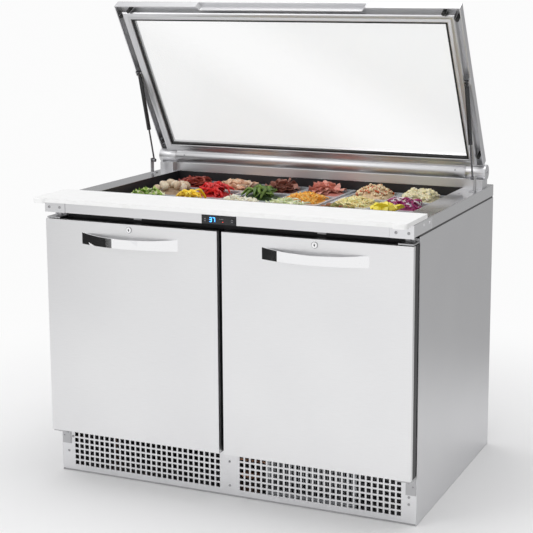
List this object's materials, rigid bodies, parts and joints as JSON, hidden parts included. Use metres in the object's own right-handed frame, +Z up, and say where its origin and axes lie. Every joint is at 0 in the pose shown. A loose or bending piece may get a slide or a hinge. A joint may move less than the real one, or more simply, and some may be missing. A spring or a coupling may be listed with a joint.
{
  "type": "sandwich prep table",
  "caption": "Refrigerated sandwich prep table with a hinged glass lid over lift-out food pans, a full-length cutting board, swing doors and a machine base behind a square-hole grille.",
  "frame": {"origin": "centre of the overall plan at floor level", "axes": "+Z up; -Y towards the front, where the doors and the cutting board are; +X towards the right as seen from the front"},
  "size_m": [1.227, 0.915, 1.5224],
  "materials": {
    "cabinet_steel": "brushed, satin",
    "door_steel": "fine brushed, satin",
    "counter_steel": "polished",
    "galvanised_steel": "zinc plated",
    "liner_aluminium": "clear coated",
    "black_plastic": "matte",
    "key_plastic": "satin",
    "white_board": "lightly textured polyethylene",
    "lid_aluminium": "satin anodised extrusion",
    "lid_glass": "clear double glazed",
    "black_rubber": "matte",
    "black_paint": "satin",
    "strut_rod_steel": "black nitrided",
    "handle_chrome": "polished",
    "shelf_coat": "epoxy coated wire",
    "coil_aluminium": "mill finish",
    "fan_plastic": "satin",
    "clear_pan": "clear polycarbonate"
  },
  "bodies": {
    "cabinet": {"base_frame": "galvanised_steel", "cabinet_shell": "cabinet_steel", "cabinet_liner": "liner_aluminium", "door_frame": "black_plastic", "kick_grille": "cabinet_steel", "counter_top": "counter_steel", "pan_well": "black_plastic", "divider_bars": "counter_steel", "adapter_bars": "counter_steel", "front_fascia": "cabinet_steel", "board_brackets": "cabinet_steel", "temperature_controller": "black_plastic", "hinge_posts": "lid_aluminium", "strut_brackets": "galvanised_steel", "door_hinges": "galvanised_steel", "shelf_left": "shelf_coat", "shelf_right": "shelf_coat", "compressor": "black_paint", "condenser_coil": "coil_aluminium", "evaporator_coil": "coil_aluminium"},
    "board": {"cutting_board": "white_board"},
    "key_left": {"controller_key_left": "key_plastic"},
    "key_right": {"controller_key_right": "key_plastic"},
    "lid": {"hinge_rail": "lid_aluminium", "lid_frame": "lid_aluminium", "lid_glass": "lid_glass", "lid_gasket": "black_rubber", "lid_bumpers": "black_rubber"},
    "tube_left": {"strut_tube_left": "black_paint"},
    "tube_right": {"strut_tube_right": "black_paint"},
    "rod_left": {"strut_rod_left": "strut_rod_steel"},
    "rod_right": {"strut_rod_right": "strut_rod_steel"},
    "left_door": {"door_left": "door_steel", "door_gasket_left": "black_rubber", "door_handle_left": "handle_chrome"},
    "right_door": {"door_right": "door_steel", "door_gasket_right": "black_rubber", "door_handle_right": "handle_chrome"},
    "left_lock": {"door_lock_left": "handle_chrome"},
    "right_lock": {"door_lock_right": "handle_chrome"},
    "fan_condenser": {"condenser_fan": "fan_plastic"},
    "fan_evaporator": {"evaporator_fan": "fan_plastic"},
    "pan_1_1_body": {"pan_1_1": "clear_pan"},
    "pan_1_2_body": {"pan_1_2": "clear_pan"},
    "pan_1_3_body": {"pan_1_3": "clear_pan"},
    "pan_1_4_body": {"pan_1_4": "clear_pan"},
    "pan_1_5_body": {"pan_1_5": "clear_pan"},
    "pan_1_6_body": {"pan_1_6": "clear_pan"},
    "pan_2_1_body": {"pan_2_1": "clear_pan"},
    "pan_2_2_body": {"pan_2_2": "clear_pan"},
    "pan_2_3_body": {"pan_2_3": "clear_pan"},
    "pan_2_4_body": {"pan_2_4": "clear_pan"},
    "pan_2_5_body": {"pan_2_5": "clear_pan"},
    "pan_2_6_body": {"pan_2_6": "clear_pan"},
    "pan_3_1_body": {"pan_3_1": "clear_pan"},
    "pan_3_2_body": {"pan_3_2": "clear_pan"},
    "pan_3_3_body": {"pan_3_3": "clear_pan"},
    "pan_3_4_body": {"pan_3_4": "clear_pan"},
    "pan_3_5_body": {"pan_3_5": "clear_pan"},
    "pan_3_6_body": {"pan_3_6": "clear_pan"}
  },
  "joints": [
    {"name": "lid_hinge", "type": "hinge", "parent": "cabinet", "child": "lid", "pos_m": [0, 0.3725, 0.965], "axis": [-1, 0, 0], "range_deg": [-62.67, 0]},
    {"name": "strut_left_pivot", "type": "hinge", "parent": "lid", "child": "tube_left", "pos_m": [-0.59, 0.18128, 1.27477], "axis": [-1, 0, 0], "range_deg": [-15.46, 0]},
    {"name": "strut_left_stroke", "type": "slide", "parent": "tube_left", "child": "rod_left", "axis": [0, -0.2787, 0.9604], "range_m": [0, 0.0664]},
    {"name": "strut_right_pivot", "type": "hinge", "parent": "lid", "child": "tube_right", "pos_m": [0.59, 0.18128, 1.27477], "axis": [-1, 0, 0], "range_deg": [-15.46, 0]},
    {"name": "strut_right_stroke", "type": "slide", "parent": "tube_right", "child": "rod_right", "axis": [0, -0.2787, 0.9604], "range_m": [0, 0.0664]},
    {"name": "door_left_hinge", "type": "hinge", "parent": "cabinet", "child": "left_door", "pos_m": [-0.598, -0.3625, 0.5], "axis": [0, 0, -1], "range_deg": [0, 110]},
    {"name": "door_right_hinge", "type": "hinge", "parent": "cabinet", "child": "right_door", "pos_m": [0.598, -0.3625, 0.5], "axis": [0, 0, 1], "range_deg": [0, 110]},
    {"name": "lock_left_turn", "type": "hinge", "parent": "left_door", "child": "left_lock", "pos_m": [-0.30925, -0.3885, 0.833], "axis": [0, -1, 0], "range_deg": [0, 90]},
    {"name": "lock_right_turn", "type": "hinge", "parent": "right_door", "child": "right_lock", "pos_m": [0.30925, -0.3885, 0.833], "axis": [0, -1, 0], "range_deg": [0, 90]},
    {"name": "cutting_board_lift", "type": "slide", "parent": "cabinet", "child": "board", "axis": [0, 0, 1], "range_m": [0, 0.15]},
    {"name": "controller_key_left_press", "type": "slide", "parent": "cabinet", "child": "key_left", "axis": [0, 1, 0], "range_m": [0, 0.001], "stiffness_N_per_m": 400},
    {"name": "controller_key_right_press", "type": "slide", "parent": "cabinet", "child": "key_right", "axis": [0, 1, 0], "range_m": [0, 0.001], "stiffness_N_per_m": 400},
    {"name": "condenser_fan_spin", "type": "hinge", "parent": "cabinet", "child": "fan_condenser", "pos_m": [0.25, -0.2025, 0.076], "axis": [0, 1, 0], "continuous": true},
    {"name": "evaporator_fan_spin", "type": "hinge", "parent": "cabinet", "child": "fan_evaporator", "pos_m": [0, 0.3385, 0.64], "axis": [0, 1, 0], "continuous": true},
    {"name": "pan_1_1_lift", "type": "slide", "parent": "cabinet", "child": "pan_1_1_body", "axis": [0, 0, 1], "range_m": [0, 0.1]},
    {"name": "pan_1_2_lift", "type": "slide", "parent": "cabinet", "child": "pan_1_2_body", "axis": [0, 0, 1], "range_m": [0, 0.1]},
    {"name": "pan_1_3_lift", "type": "slide", "parent": "cabinet", "child": "pan_1_3_body", "axis": [0, 0, 1], "range_m": [0, 0.1]},
    {"name": "pan_1_4_lift", "type": "slide", "parent": "cabinet", "child": "pan_1_4_body", "axis": [0, 0, 1], "range_m": [0, 0.1]},
    {"name": "pan_1_5_lift", "type": "slide", "parent": "cabinet", "child": "pan_1_5_body", "axis": [0, 0, 1], "range_m": [0, 0.1]},
    {"name": "pan_1_6_lift", "type": "slide", "parent": "cabinet", "child": "pan_1_6_body", "axis": [0, 0, 1], "range_m": [0, 0.1]},
    {"name": "pan_2_1_lift", "type": "slide", "parent": "cabinet", "child": "pan_2_1_body", "axis": [0, 0, 1], "range_m": [0, 0.1]},
    {"name": "pan_2_2_lift", "type": "slide", "parent": "cabinet", "child": "pan_2_2_body", "axis": [0, 0, 1], "range_m": [0, 0.1]},
    {"name": "pan_2_3_lift", "type": "slide", "parent": "cabinet", "child": "pan_2_3_body", "axis": [0, 0, 1], "range_m": [0, 0.1]},
    {"name": "pan_2_4_lift", "type": "slide", "parent": "cabinet", "child": "pan_2_4_body", "axis": [0, 0, 1], "range_m": [0, 0.1]},
    {"name": "pan_2_5_lift", "type": "slide", "parent": "cabinet", "child": "pan_2_5_body", "axis": [0, 0, 1], "range_m": [0, 0.1]},
    {"name": "pan_2_6_lift", "type": "slide", "parent": "cabinet", "child": "pan_2_6_body", "axis": [0, 0, 1], "range_m": [0, 0.1]},
    {"name": "pan_3_1_lift", "type": "slide", "parent": "cabinet", "child": "pan_3_1_body", "axis": [0, 0, 1], "range_m": [0, 0.1]},
    {"name": "pan_3_2_lift", "type": "slide", "parent": "cabinet", "child": "pan_3_2_body", "axis": [0, 0, 1], "range_m": [0, 0.1]},
    {"name": "pan_3_3_lift", "type": "slide", "parent": "cabinet", "child": "pan_3_3_body", "axis": [0, 0, 1], "range_m": [0, 0.1]},
    {"name": "pan_3_4_lift", "type": "slide", "parent": "cabinet", "child": "pan_3_4_body", "axis": [0, 0, 1], "range_m": [0, 0.1]},
    {"name": "pan_3_5_lift", "type": "slide", "parent": "cabinet", "child": "pan_3_5_body", "axis": [0, 0, 1], "range_m": [0, 0.1]},
    {"name": "pan_3_6_lift", "type": "slide", "parent": "cabinet", "child": "pan_3_6_body", "axis": [0, 0, 1], "range_m": [0, 0.1]}
  ],
  "couplings": [
    {"joint": "strut_left_pivot", "follows": "lid_hinge", "ratio": 0.24581},
    {"joint": "strut_left_stroke", "follows": "lid_hinge", "m_per_rad": -0.060492},
    {"joint": "strut_right_pivot", "follows": "lid_hinge", "ratio": 0.24581},
    {"joint": "strut_right_stroke", "follows": "lid_hinge", "m_per_rad": -0.060492}
  ]
}
